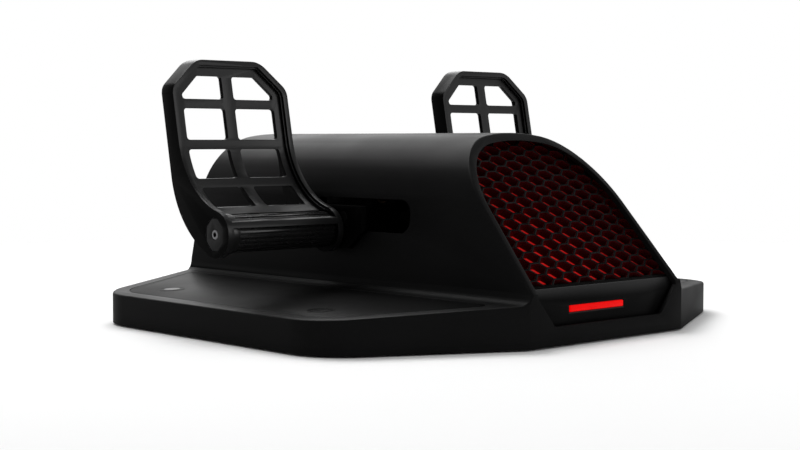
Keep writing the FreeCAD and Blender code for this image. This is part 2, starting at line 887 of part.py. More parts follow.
keep(
    "light_bar",
    box(
        "light_bar",
        (f"{bar_left} + seat_gap", f"{bar_right} - seat_gap"),
        (f"{panel_face} - 0.3", f"{panel_face} + chin_plate"),
        (f"{bar_low} + seat_gap", f"{bar_high} - seat_gap"),
    ),
)

# Lamp board behind the glow panel, on four posts from the bottom plate

lamp_face = -glow_front - number("lamp_gap")
board_back = lamp_face - number("board_thickness")
board_width = number("lamp_board_width")
board_height = number("lamp_board_height")
board_start = number("lamp_board_start")
board = Part.makeBox(
    board_width, board_height, number("board_thickness"), Vector(-board_width / 2, board_start, board_back)
)
keep("lamp_board", shaped("lamp_board", slanted(board)))
lamps = []
lamp_width = number("lamp_width")
lamp_columns = int(number("lamp_columns"))
lamp_rows = int(number("lamp_rows"))
for column_index in range(lamp_columns):
    for row_index in range(lamp_rows):
        u = (column_index - (lamp_columns - 1) / 2) * number("lamp_pitch")
        v = board_start + board_height / 2 + (row_index - (lamp_rows - 1) / 2) * number("lamp_pitch")
        corner_at = Vector(u - lamp_width / 2, v - lamp_width / 2, lamp_face)
        lamps.append(slanted(Part.makeBox(lamp_width, lamp_width, number("lamp_height"), corner_at)))
keep("lamps", shaped("lamps", Part.makeCompound(lamps)))
posts = []
margin_in = number("lamp_post_margin")
for u in (-board_width / 2 + margin_in, board_width / 2 - margin_in):
    for v in (board_start + margin_in, board_start + board_height - margin_in):
        top = SLANT.multVec(Vector(u, v, board_back))
        post = Part.makeCylinder(number("lamp_post_radius"), ABOVE, Vector(top.x, top.y, FLOOR))
        posts.append(post.cut(slab(-HUMP, HUMP - board_back)))
keep("lamp_posts", shaped("lamp_posts", Part.makeCompound(posts)))

# Steel bottom plate, feet and the screws that close the shell

inner_plan = plan_prism(WALL + number("bottom_plate_fit"), FOOT, FLOOR)
for x, y in BOSSES:
    hole = Part.makeCylinder(number("screw_radius + screw_clearance"), 2 * FLOOR, Vector(x, y, 0))
    inner_plan = inner_plan.cut(hole)
keep("bottom_plate", shaped("bottom_plate", inner_plan))

foot_places = [
    ("base_width / 2 - foot_side_margin", "front_y + foot_front_margin"),
    ("base_width / 2 - foot_side_margin", "rear_y - foot_rear_margin"),
    ("middle_foot_place", "front_y + middle_foot_margin"),
]
feet = []
for side in (-1, 1):
    for index, (x, y) in enumerate(foot_places):
        feet.append(rod(f"foot_{index}_{side}", "z", "foot_radius", "0", "foot_height", (f"{side} * ({x})", y)))
keep("rubber_feet", group("rubber_feet", feet))

screws = []
head_height = number("screw_head_height")
for x, y in BOSSES:
    head = Part.makeCylinder(number("screw_head_radius"), head_height, Vector(x, y, FOOT - head_height))
    shank_length = boss_top(x) - 2 * WALL - FOOT
    shank = Part.makeCylinder(number("screw_radius - screw_fit"), shank_length, Vector(x, y, FOOT))
    screws.append(head.fuse(shank))
keep("bottom_screws", shaped("bottom_screws", Part.makeCompound(screws)))

# Guide rods between two steel brackets

rod_places = [("-rod_spread", "lower_rod_height"), ("rod_spread", "lower_rod_height")]
rod_places += [("-rod_spread", "upper_rod_height"), ("rod_spread", "upper_rod_height")]
bracket_outline = [
    ("-bracket_width / 2", "floor_top"),
    ("bracket_width / 2", "floor_top"),
    ("bracket_width / 2", "bracket_height - bracket_corner"),
    ("bracket_width / 2 - bracket_corner", "bracket_height"),
    ("-bracket_width / 2 + bracket_corner", "bracket_height"),
    ("-bracket_width / 2", "bracket_height - bracket_corner"),
]
for name, low in (("front_rod_bracket", "bracket_front_y"), ("rear_rod_bracket", "bracket_rear_y - bracket_thickness")):
    holes = [(x, z, "rod_radius + running_fit") for x, z in rod_places]
    keep(name, plate(name, "XZ", bracket_outline, low, f"{low} + bracket_thickness", holes))
for name, (x, z) in zip(("left_lower_rod", "right_lower_rod", "left_upper_rod", "right_upper_rod"), rod_places):
    rod_ends = ("bracket_front_y - rod_overhang", "bracket_rear_y + rod_overhang")
    keep(name, rod(name, "y", "rod_radius", *rod_ends, (x, z)))

# Pinion column: a turned pedestal that holds two bearings

column_body = doc.addObject("PartDesign::Body", "pinion_column")
column_sketch = sketch_on(column_body, "column_profile", "XZ", "axle_y")
bearing_seat = "bearing_radius + running_fit"
column_outline = [
    ("column_recess", "floor_top"),
    ("column_flange_radius", "floor_top"),
    ("column_flange_radius", "floor_top + column_flange_height"),
    ("column_radius", "floor_top + column_flange_height"),
    ("column_radius", "column_top"),
    (bearing_seat, "column_top"),
    (bearing_seat, "column_top - bearing_width"),
    ("column_bore", "column_top - bearing_width"),
    ("column_bore", "lower_bearing_level + bearing_width"),
    (bearing_seat, "lower_bearing_level + bearing_width"),
    (bearing_seat, "lower_bearing_level"),
    ("column_recess", "lower_bearing_level"),
]
draw(column_sketch, column_outline)
turned = column_body.newObject("PartDesign::Revolution", "column_turned")
turned.Profile = column_sketch
turned.ReferenceAxis = (column_sketch, ["V_Axis"])
turned.Angle = 360
keep("pinion_column", column_body)
middle = ("0", "axle_y")
bearings = []
for index, low in enumerate(("lower_bearing_level", "column_top - bearing_width")):
    span = (low, f"{low} + bearing_width")
    bearing = tube(f"bearing_{index}", "z", "bearing_radius", "pinion_shaft_radius + running_fit", *span, middle)
    bearings.append(bearing)
keep("pinion_bearings", group("pinion_bearings", bearings))

MODULE = number("gear_module")
TEETH = int(number("gear_teeth"))
PITCH = number("pitch_radius")
AXLE_Y = number("axle_y")
GEAR_LOW = number("gear_bottom")
GEAR_HIGH = GEAR_LOW + number("gear_thickness")
PRESSURE = math.radians(20)
SLACK = number("backlash") / 2


def involute(angle):
    return math.tan(angle) - angle


def gear_outline():
    """Spur gear with involute flanks, drawn as short straight runs."""
    root = PITCH - 1.25 * MODULE
    tip = PITCH + MODULE
    base = PITCH * math.cos(PRESSURE)
    half_tooth = math.pi / 2 / TEETH - SLACK / PITCH
    points = []
    for tooth in range(TEETH):
        centre = 2 * math.pi * tooth / TEETH
        flank = []
        for step in range(5):
            radius = max(base, root) + (tip - max(base, root)) * step / 4
            roll = math.acos(min(1, base / radius))
            flank.append((radius, half_tooth + involute(PRESSURE) - involute(roll)))
        flank.insert(0, (root, flank[0][1]))
        for radius, angle in flank:
            points.append((radius, centre - angle))
        for radius, angle in reversed(flank):
            points.append((radius, centre + angle))
    return [Vector(r * math.cos(a), AXLE_Y + r * math.sin(a), GEAR_LOW) for r, a in points]


gear = gear_outline()
wheel = prism(Part.makePolygon(gear + gear[:1]), Vector(0, 0, GEAR_HIGH - GEAR_LOW))
hub_low = number("column_top + pinion_hub_gap")
hub = Part.makeCylinder(number("pinion_hub_radius"), GEAR_LOW - hub_low, Vector(0, AXLE_Y, hub_low))
shaft_low = number("pinion_shaft_bottom")
shaft_length = number("pinion_shaft_top - pinion_shaft_bottom")
shaft = Part.makeCylinder(number("pinion_shaft_radius"), shaft_length, Vector(0, AXLE_Y, shaft_low))
keep("pinion", shaped("pinion", wheel.fuse(hub).fuse(shaft).removeSplitter()))
magnet_span = ("pinion_shaft_bottom - magnet_height", "pinion_shaft_bottom")
keep("rudder_magnet", rod("rudder_magnet", "z", "magnet_radius", *magnet_span, middle))
sensor_span = ("floor_top", "floor_top + board_thickness")
keep("rudder_sensor_board", rod("rudder_sensor_board", "z", "sensor_board_radius", *sensor_span, middle))


def rack_teeth(side):
    """A rack whose gap centres line up with the pinion's teeth at rest."""
    pitch = math.pi * MODULE
    length = number("rack_length")
    root = PITCH + 1.25 * MODULE
    tip = PITCH - MODULE
    slope = math.tan(PRESSURE)
    half = pitch / 4 - SLACK
    count = int((length / 2 - half - number("rack_end")) / pitch)
    points = [(number("block_inner"), AXLE_Y - length / 2), (root, AXLE_Y - length / 2)]
    for tooth in range(-count, count):
        centre = AXLE_Y + (tooth + 0.5) * pitch
        wide = half + (root - PITCH) * slope
        narrow = half - (PITCH - tip) * slope
        points += [(root, centre - wide), (tip, centre - narrow), (tip, centre + narrow), (root, centre + wide)]
    points += [(root, AXLE_Y + length / 2), (number("block_inner"), AXLE_Y + length / 2)]
    outline = [Vector(side * x, y, GEAR_LOW) for x, y in points]
    return prism(Part.makePolygon(outline + outline[:1]), Vector(0, 0, GEAR_HIGH - GEAR_LOW))


def coil(mean, wire, turns, length):
    """A spring wire along Z, as tangent quarter turns, centred on the axis."""
    steps = turns * 4
    spot = lambda turn: Vector(
        mean * math.cos(2 * math.pi * turn), mean * math.sin(2 * math.pi * turn), length * turn / turns
    )
    edges = []
    for step in range(int(steps)):
        edges.append(Part.Arc(spot(step / 4), spot((step + 0.5) / 4), spot((step + 1) / 4)).toShape())
    path = Part.Wire(edges)
    start = edges[0]
    profile = Part.Wire([Part.makeCircle(wire / 2, spot(0), start.tangentAt(start.FirstParameter))])
    return path.makePipeShell([profile], True, False)


def placed_coil(name, coil_shape, axis, start):
    item = shaped(name, coil_shape)
    item.Placement = Placement(Vector(*start), ALONG[axis])
    return item


# Everything that exists once on each side. side is -1 on the left and 1 on the right


def outward(side, low, high):
    """A span measured away from the middle, as low and high places along X."""
    return (low, high) if side > 0 else (f"-({high})", f"-({low})")


def make_side(label, side):
    name = lambda part: f"{label}_{part}"
    at_x = f"{side} * rod_spread"
    block_low = "axle_y - block_length / 2"
    block_high = "axle_y + block_length / 2"

    rods = [("lower", "lower_rod_height"), ("upper", "upper_rod_height")]
    holes = [(at_x, z, "rod_radius + bush_wall + running_fit") for _, z in rods]
    x_span = outward(side, "block_inner", "block_outer")
    block_outline = rectangle(x_span, ("block_bottom", "block_top"))
    block = plate(name("slide_block"), "XZ", block_outline, block_low, block_high, holes)
    doc.recompute()
    screw_level = "(arm_bottom + arm_top) / 2"
    screw_ys = ["axle_y - arm_screw_spread / 2", "axle_y + arm_screw_spread / 2"]
    screw_holes = [(y, screw_level, "arm_screw_radius + running_fit") for y in screw_ys]
    drill(block, name("block_screw_holes"), "YZ", x_span[0], screw_holes)
    keep(name("slide_block"), block)

    bushes = []
    bush_radii = ("rod_radius + bush_wall", "rod_radius + running_fit")
    for place, z in rods:
        for end, low in (("front", block_low), ("rear", f"{block_high} - slide_bush_length")):
            high = f"{low} + slide_bush_length"
            bushes.append(tube(name(f"bush_{place}_{end}"), "y", *bush_radii, low, high, (at_x, z)))
    keep(name("slide_bushes"), group(name("slide_bushes"), bushes))

    keep(name("rack"), shaped(name("rack"), rack_teeth(side)))

    # Arm: a bar through the slot, with a plate outside the hump that holds the axle
    arm = doc.addObject("PartDesign::Body", name("arm"))
    arm_y = ("arm_front", "arm_rear")
    bar_x = outward(side, "block_outer", "hub_inner")
    pad(arm, name("arm_bar"), "YZ", rectangle(arm_y, ("arm_bottom", "arm_top")), *bar_x)
    hub_outline = [
        ("axle_y - hub_foot_length / 2", "axle_height - hub_drop"),
        ("axle_y + hub_foot_length / 2", "axle_height - hub_drop"),
        ("arm_rear", "arm_bottom"),
        ("arm_rear", "arm_top"),
        ("arm_front", "arm_top"),
        ("arm_front", "arm_bottom"),
    ]
    hub_x = outward(side, "hub_inner", "hub_outer")
    hub = pad(arm, name("arm_hub"), "YZ", hub_outline, *hub_x)
    doc.recompute()
    hub_face = side * number("hub_outer")
    arm_ends = (number("arm_front"), number("arm_rear"))
    upright_corners = []
    for index, edge in enumerate(hub.Shape.Edges, start=1):
        low_end, high_end = [vertex.Point for vertex in edge.Vertexes][:2]
        on_face = all(abs(p.x - hub_face) < 0.01 for p in (low_end, high_end))
        on_corner = on_face and any(all(abs(p.y - y) < 0.01 for p in (low_end, high_end)) for y in arm_ends)
        if on_corner and abs(low_end.z - high_end.z) > 1:
            upright_corners.append(f"Edge{index}")
    rounding = arm.newObject("PartDesign::Fillet", name("arm_corners"))
    rounding.Base = (hub, upright_corners)
    rounding.setExpression("Radius", linked("arm_corner_round"))
    drill(arm, name("axle_hole"), "YZ", hub_x[0], [("axle_y", "axle_height", "axle_radius + running_fit")])
    drill(arm, name("screw_holes"), "YZ", hub_x[0], screw_holes)
    head_rooms = [(y, screw_level, "arm_screw_head + seat_gap") for y in screw_ys]
    outer_face = "hub_outer" if side > 0 else "-hub_outer"
    drill(arm, name("screw_head_rooms"), "YZ", outer_face, head_rooms, "arm_screw_recess")
    keep(name("arm"), arm)
    arm_screws = []
    for end, y in zip(("front", "rear"), screw_ys):
        head_seat = "hub_outer - arm_screw_recess"
        shank_x = outward(side, "block_outer - arm_screw_depth", head_seat)
        shank = rod(name(f"screw_{end}"), "x", "arm_screw_radius", *shank_x, (y, screw_level))
        head_x = outward(side, head_seat, f"{head_seat} + arm_screw_head_height")
        head = rod(name(f"screw_head_{end}"), "x", "arm_screw_head", *head_x, (y, screw_level))
        arm_screws.append(fuse(name(f"arm_screw_{end}"), shank, head))
    keep(name("arm_screws"), group(name("arm_screws"), arm_screws))
    axle_at = ("axle_y", "axle_height")
    keep(name("axle"), rod(name("axle"), "x", "axle_radius", *outward(side, "axle_start", "axle_end"), axle_at))

    toe_length = number("toe_spring_length")
    toe_coil = coil(number("toe_spring_radius"), number("toe_wire"), number("toe_turns"), toe_length)
    toe_low = number(outward(side, "toe_spring_start", "toe_spring_start + toe_spring_length")[0])
    place = (toe_low, AXLE_Y, number("axle_height"))
    keep(name("toe_spring"), placed_coil(name("toe_spring"), toe_coil, "x", place))

    # Centring springs on the lower rod, one each side of the slide block
    for end, low, high in (
        ("front", "bracket_front_y + bracket_thickness", block_low),
        ("rear", block_high, "bracket_rear_y - bracket_thickness"),
    ):
        room = number(f"({high}) - ({low})")
        wire = number("centring_wire")
        length = room - wire - 2 * seat
        spring = coil(number("centring_spring_radius"), wire, number("centring_turns"), length)
        place = (side * number("rod_spread"), number(low) + seat + wire / 2, number("lower_rod_height"))
        keep(name(f"{end}_spring"), placed_coil(name(f"{end}_spring"), spring, "y", place))

    make_pedal(name, side, axle_at)


# Pedals: a frame like a shallow tray, open at the back, with a grid plate set behind its lip


def offset_line(points, distance):
    """Moves an open run of straight lines sideways, with its corners kept sharp."""
    moved = []
    normals = []
    for start, end in zip(points, points[1:]):
        along = (end - start).normalize()
        normals.append(Vector(0, -along.z, along.y))
    for index, point in enumerate(points):
        before = normals[max(index - 1, 0)]
        after = normals[min(index, len(normals) - 1)]
        middle = (before + after).normalize()
        moved.append(point + middle * (distance / middle.dot(before)))
    return moved


def from_axle(reach, rise):
    """A place in the pedal's side view, measured from its axle."""
    return Vector(0, AXLE_Y + number(reach), number("axle_height") + number(rise))


def boss_tangent(point, upper):
    """Where a line from a point touches the boss round the axle, above or below it."""
    centre = from_axle("0", "0")
    away = point - centre
    turn = math.acos(number("pedal_boss_radius") / away.Length)
    angle = math.atan2(away.z, away.y) + (turn if upper else -turn)
    return centre + Vector(0, math.cos(angle), math.sin(angle)) * number("pedal_boss_radius")


def pedal_front(distance):
    """The front of the pedal in side view, from above its top down to the boss, moved back by a distance."""
    top = from_axle("pedal_top_reach", "pedal_top_rise")
    bend = from_axle("pedal_bend_reach", "pedal_bend_rise")
    heel = boss_tangent(bend, True)
    above = top + (top - bend) * 0.3
    below = heel + (heel - bend) * 1.5
    return offset_line([above, bend, below], distance)


def pedal_band(near, far, low_x, high_x):
    """A layer that follows the pedal's front, between two distances behind it."""
    front = pedal_front(near)
    back = pedal_front(far)
    radius = number("pedal_bend_radius")
    points = front + back[::-1]
    radii = [0, radius + near, 0, 0, radius + far, 0]
    wire = rounded([Vector(low_x, p.y, p.z) for p in points], radii)
    return prism(wire, Vector(high_x - low_x, 0, 0))


def front_view(inset, low_rise):
    """The pedal's outline from the front, drawn in by inset, as a block through it."""
    middle = number("pedal_middle")
    half = number("pedal_width") / 2
    top = number("axle_height + pedal_top_rise")
    cut_z = number("axle_height + pedal_cut_rise")
    top_half = number("pedal_top_width") / 2
    turn = math.atan2(top - cut_z, half - top_half)
    slide = inset * math.tan((math.pi / 2 - turn) / 2)
    rise = inset * math.tan(turn / 2)
    right = [
        (half - inset, number("axle_height") + low_rise),
        (half - inset, cut_z - slide),
        (top_half - rise, top - inset),
    ]
    outline = right + [(-x, z) for x, z in reversed(right)]
    round_corner = max(number("pedal_corner_round") - inset / 2, 1)
    wire = rounded([Vector(middle + x, -DEPTH, z) for x, z in outline], [0, round_corner, round_corner] * 2)
    return prism(wire, Vector(0, 2 * DEPTH, 0))


def window(points):
    """A window through the grid plate, and its mirror on the pedal's other half."""
    middle = number("pedal_middle")
    wires = []
    for side in (-1, 1):
        corners = [Vector(middle + side * x, -DEPTH, number("axle_height") + z) for x, z in points]
        wires.append(rounded(corners, [number("window_corner")] * len(corners)))
    return [prism(wire, Vector(0, 2 * DEPTH, 0)) for wire in wires]


def pedal_frame():
    """The right pedal's frame, at rest."""
    low_x = number("pedal_inner")
    high_x = number("pedal_outer")
    centre = from_axle("0", "0")
    bend = from_axle("pedal_bend_reach", "pedal_bend_rise")
    heel = from_axle("pedal_heel_reach", "pedal_heel_rise")
    upper = boss_tangent(bend, True)
    lower = boss_tangent(heel, False)
    corners = [upper, bend, from_axle("pedal_top_reach", "pedal_top_rise")]
    corners += [from_axle("pedal_back_reach", "pedal_top_rise"), heel, lower]
    edge_round = number("pedal_edge_round")
    radii = [0, number("pedal_bend_radius"), edge_round, edge_round, number("pedal_heel_radius"), 0]
    points = [Vector(low_x, p.y, p.z) for p in corners]
    side_view = prism(rounded(points, radii), Vector(high_x - low_x, 0, 0))
    boss = Part.makeCylinder(
        number("pedal_boss_radius"), high_x - low_x, Vector(low_x, centre.y, centre.z), Vector(1, 0, 0)
    )
    reach = number("pedal_bend_radius")
    below = -2 * number("pedal_boss_radius")
    solid = side_view.fuse(boss).common(front_view(0, below)).removeSplitter()
    lip = number("lip_width")
    step = number("lip_step_width")
    start = number("tray_start")
    recess = number("plate_recess")
    back = recess + number("plate_thickness")
    cheek = number("cheek_thickness")
    inside_x = (low_x + cheek, high_x - cheek)
    solid = solid.cut(pedal_band(-reach, number("lip_step_depth"), low_x, high_x).common(front_view(lip, start)))
    solid = solid.cut(pedal_band(-reach, recess, low_x, high_x).common(front_view(lip + step, start)))
    solid = solid.cut(pedal_band(back, 2 * reach, low_x, high_x).common(front_view(cheek, below)))
    between = Part.makeBox(
        inside_x[1] - inside_x[0], reach, -2 * below, Vector(inside_x[0], centre.y - reach, centre.z + below)
    )
    solid = solid.cut(between.cut(pedal_band(recess, 3 * reach, low_x, high_x)))
    clear = number("collar_radius + seat_gap")
    at_axle = Vector(inside_x[0], centre.y, centre.z)
    return solid.cut(Part.makeCylinder(clear, inside_x[1] - inside_x[0], at_axle, Vector(1, 0, 0)))


def windows():
    """All windows of one pedal, from the lowest row up. The top ones have their outer corner cut."""
    inner = number("window_inner")
    outer = number("window_outer")
    cuts = []
    for row_name in ("first", "second", "third"):
        low = number(f"{row_name}_window_low")
        high = number(f"{row_name}_window_high")
        cuts += window([(inner, low), (outer, low), (outer, high), (inner, high)])
    low = number("fourth_window_low")
    high = number("fourth_window_high")
    cut_from = (outer, number("fourth_window_cut"))
    cut_to = (number("window_top_outer"), high)
    return cuts + window([(inner, low), (outer, low), cut_from, cut_to, (inner, high)])


def make_pedal(name, side, axle_at):
    """Everything that tilts with one pedal."""
    turned_over = mirror if side < 0 else (lambda shape: shape)
    frame = pedal_frame()
    for hole in windows():
        frame = frame.cut(hole)
    centre = from_axle("0", "0")
    x_axis = Vector(1, 0, 0)
    cheek = number("cheek_thickness")
    far = 2 * cheek

    def across(radius, start, length):
        return Part.makeCylinder(number(radius), length, Vector(number(start), centre.y, centre.z), x_axis)

    inner_hole = across("bar_bore_radius", "pedal_inner - cheek_thickness / 2", far)
    screw_hole = across("end_screw_radius + screw_clearance", "bar_end - cheek_thickness / 2", far)
    recess = end_outline(number("end_plate_width + 2 * seat_gap"), number("end_plate_height + 2 * seat_gap"))
    recess = prism(recess, Vector(far, 0, 0))
    recess.translate(Vector(number("pedal_outer - end_recess"), 0, 0))
    frame = frame.cut(inner_hole).cut(screw_hole).cut(recess)
    keep(name("pedal_frame"), shaped(name("pedal_frame"), turned_over(frame)))

    keep(name("foot_bar"), shaped(name("foot_bar"), turned_over(foot_bar())))
    collar_x = outward(side, "collar_start", "bar_end")
    keep(name("bar_collar"), tube(name("bar_collar"), "x", "collar_radius", "bar_radius", *collar_x, axle_at))
    bushes = []
    inner_bush = "pedal_inner + axle_bush_setback"
    outer_bush = "axle_end - axle_bush_margin - axle_bush_length"
    bush_radii = ("bar_bore_radius", "axle_radius + running_fit")
    for end, low in (("inner", inner_bush), ("outer", outer_bush)):
        span = outward(side, low, f"{low} + axle_bush_length")
        bushes.append(tube(name(f"axle_bush_{end}"), "x", *bush_radii, *span, axle_at))
    keep(name("axle_bushes"), group(name("axle_bushes"), bushes))
    insert_x = outward(side, "bar_end - end_insert_length", "bar_end")
    keep(name("end_insert"), tube(name("end_insert"), "x", "bar_bore_radius", "end_screw_radius", *insert_x, axle_at))
    cap = end_outline(number("end_plate_width"), number("end_plate_height"))
    cap = prism(cap, Vector(number("end_plate_thickness"), 0, 0))
    cap.translate(Vector(number("pedal_outer - end_recess"), 0, 0))
    head_low = "pedal_outer - end_screw_head_setback - end_screw_head_height"
    head = across("end_screw_head + screw_fit", head_low, far)
    hole = across("end_screw_radius + screw_fit", "bar_end - cheek_thickness / 2", far)
    keep(name("end_plate"), shaped(name("end_plate"), turned_over(cap.cut(head).cut(hole))))
    shank_x = outward(side, "bar_end - end_screw_depth", f"{head_low} + end_screw_head_height / 2")
    shank = rod(name("end_screw_shank"), "x", "end_screw_radius", *shank_x, axle_at)
    head_x = outward(side, head_low, "pedal_outer - end_screw_head_setback")
    top = rod(name("end_screw_top"), "x", "end_screw_head", *head_x, axle_at)
    keep(name("end_screw"), fuse(name("end_screw"), shank, top))


def end_outline(wide, tall):
    """An upright plate with cut corners, centred on the axle, in the plane X = 0."""
    centre = from_axle("0", "0")
    trim = number("end_plate_cut")
    quarter = [(wide / 2, tall / 2 - trim), (wide / 2 - trim, tall / 2)]
    points = quarter + [(-y, z) for y, z in reversed(quarter)]
    points += [(-y, -z) for y, z in quarter] + [(y, -z) for y, z in reversed(quarter)]
    corners = [Vector(0, centre.y + y, centre.z + z) for y, z in points]
    return rounded(corners, [number("end_plate_round")] * len(corners))


def foot_bar():
    """A ribbed tube between the cheeks, smooth under the collar."""
    centre = from_axle("0", "0")
    x_axis = Vector(1, 0, 0)
    start = number("bar_start")
    length = number("bar_end") - start
    radius = number("bar_radius")
    solid = Part.makeCylinder(radius, length, Vector(start, centre.y, centre.z), x_axis)
    solid = solid.cut(Part.makeCylinder(number("bar_bore_radius"), length, Vector(start, centre.y, centre.z), x_axis))
    depth = number("bar_groove_depth")
    wide = number("bar_groove_width")
    count = int(number("bar_groove_count"))
    ribbed = number("collar_start") - start
    grooves = []
    for index in range(count):
        groove = Part.makeBox(ribbed, wide, 2 * depth, Vector(start, centre.y - wide / 2, centre.z + radius - depth))
        groove.rotate(centre, x_axis, 360 * index / count)
        grooves.append(groove)
    return solid.cut(Part.makeCompound(grooves))


for label, side in (("left", -1), ("right", 1)):
    make_side(label, side)

# Main circuit board at the back, with its socket and the port plate

board_level = "port_level - usb_height / 2"
board_under = f"{board_level} - board_thickness"
board_rear = "rear_y - main_board_margin"
board_front = "bracket_rear_y + rod_overhang + main_board_gap"
board_x = ("-main_board_width / 2", "main_board_width / 2")
keep("main_board", box("main_board", board_x, (board_front, board_rear), (board_under, board_level)))
posts = []
for side in (-1, 1):
    post_x = f"{side} * (main_board_width / 2 - board_post_margin)"
    for end, y in (("front", f"{board_front} + board_post_margin"), ("rear", f"{board_rear} - board_post_margin")):
        posts.append(rod(f"board_post_{end}_{side}", "z", "board_post_radius", "floor_top", board_under, (post_x, y)))
keep("board_posts", group("board_posts", posts))
usb_face = "rear_y - shell_wall - pinion_hub_gap"
usb_x = ("-usb_width / 2", "usb_width / 2")
usb_z = (board_level, f"{board_level} + usb_height")
usb = box("usb_block", usb_x, (f"{usb_face} - usb_depth", usb_face), usb_z)
mouth = box(
    "usb_mouth",
    ("-usb_width / 2 + usb_wall", "usb_width / 2 - usb_wall"),
    (f"{usb_face} - usb_mouth_depth", "rear_y"),
    (f"{board_level} + usb_wall", f"{board_level} + usb_height - usb_wall"),
)
keep("usb_socket", cut("usb_socket", usb, mouth))
port_outline = rectangle(
    ("-port_width / 2 - port_plate_border", "port_width / 2 + port_plate_border"),
    ("floor_top + seat_gap", "port_level + port_height / 2 + port_plate_border"),
)
port_face = "rear_y - shell_wall"
port_body = plate("rear_port_plate", "XZ", port_outline, f"{port_face} - port_plate_thickness", port_face)
doc.recompute()
port_sketch = sketch_on(port_body, "port_hole_sketch", "XZ", port_face)
port_hole_outline = rectangle(
    ("-usb_width / 2 - seat_gap", "usb_width / 2 + seat_gap"),
    (f"{board_level} - seat_gap", f"{board_level} + usb_height + seat_gap"),
)
draw(port_sketch, port_hole_outline)
port_hole = port_body.newObject("PartDesign::Pocket", "port_hole")
port_hole.Profile = port_sketch
port_hole.Type = "ThroughAll"
port_hole.Midplane = True
keep("rear_port_plate", port_body)

# Checks, then the files

doc.recompute()
for item in doc.Objects:
    if any(word in item.State for word in ("Invalid", "Error")):
        raise RuntimeError(f"{item.Label} did not build: {item.State}")
for name, item in pieces.items():
    if item.Shape.isNull() or not item.Shape.isValid() or not item.Shape.Solids:
        raise RuntimeError(f"{name} is not a valid solid")

os.makedirs("parts", exist_ok=True)
for name, item in pieces.items():
    item.Shape.exportStep(f"parts/{name}.step")
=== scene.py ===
import math

import bmesh
import bpy
from mathutils import Matrix, Vector
from mathutils.bvhtree import BVHTree


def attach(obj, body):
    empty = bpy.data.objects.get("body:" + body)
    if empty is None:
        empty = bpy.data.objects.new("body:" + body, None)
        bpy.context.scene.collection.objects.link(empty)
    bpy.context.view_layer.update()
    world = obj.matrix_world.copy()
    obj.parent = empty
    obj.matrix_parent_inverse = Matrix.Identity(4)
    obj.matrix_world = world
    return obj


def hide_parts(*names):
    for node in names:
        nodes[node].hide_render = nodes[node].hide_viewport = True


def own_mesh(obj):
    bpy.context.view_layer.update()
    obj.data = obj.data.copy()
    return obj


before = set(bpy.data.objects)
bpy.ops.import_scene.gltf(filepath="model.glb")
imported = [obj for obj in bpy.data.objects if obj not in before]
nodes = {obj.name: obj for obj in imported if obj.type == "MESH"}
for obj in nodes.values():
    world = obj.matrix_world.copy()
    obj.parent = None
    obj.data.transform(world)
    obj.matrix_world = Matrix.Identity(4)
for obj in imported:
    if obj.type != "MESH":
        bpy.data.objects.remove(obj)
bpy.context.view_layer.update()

# The base is one moulding in black plastic with a fine matt grain: two heel decks with a domed hump
# between them. Its outer edges are rounded in the tool, and it is open behind the grille.


def rounded_copy(node, body, width, material, segments=3, shaped=None, second=None, highlit_edges=False):
    """A copy of a CAD piece with its sharp edges rounded over. Where asked, the rounded edges take the
    second finish, which paints a highlight along them.

    Where the width is 0, the edges stay as they are. shaped changes the form before they are rounded.
    """
    flat = math.radians(0.3)
    sharp = math.radians(28)
    form = bmesh.new()
    form.from_mesh(nodes[node].data)
    bmesh.ops.remove_doubles(form, verts=form.verts, dist=1e-6)
    bmesh.ops.dissolve_limit(
        form, angle_limit=flat, verts=form.verts, edges=form.edges, use_dissolve_boundaries=False
    )
    if shaped:
        shaped(form)
    mesh = bpy.data.meshes.new(node + "_finished")
    form.to_mesh(mesh)
    form.free()
    for face in mesh.polygons:
        face.use_smooth = True
    mesh.materials.append(material)
    if second:
        mesh.materials.append(second)
    piece = bpy.data.objects.new(node + "_finished", mesh)
    bpy.context.scene.collection.objects.link(piece)
    if width:
        edges = piece.modifiers.new("edges", "BEVEL")
        edges.width = width
        edges.segments = segments
        edges.profile = 0.5
        edges.limit_method = "ANGLE"
        edges.angle_limit = sharp
        edges.harden_normals = True
        # The rounded edges take the second finish, a painted highlight.
        if highlit_edges:
            edges.material = 1
    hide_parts(node)
    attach(piece, body)
    return piece


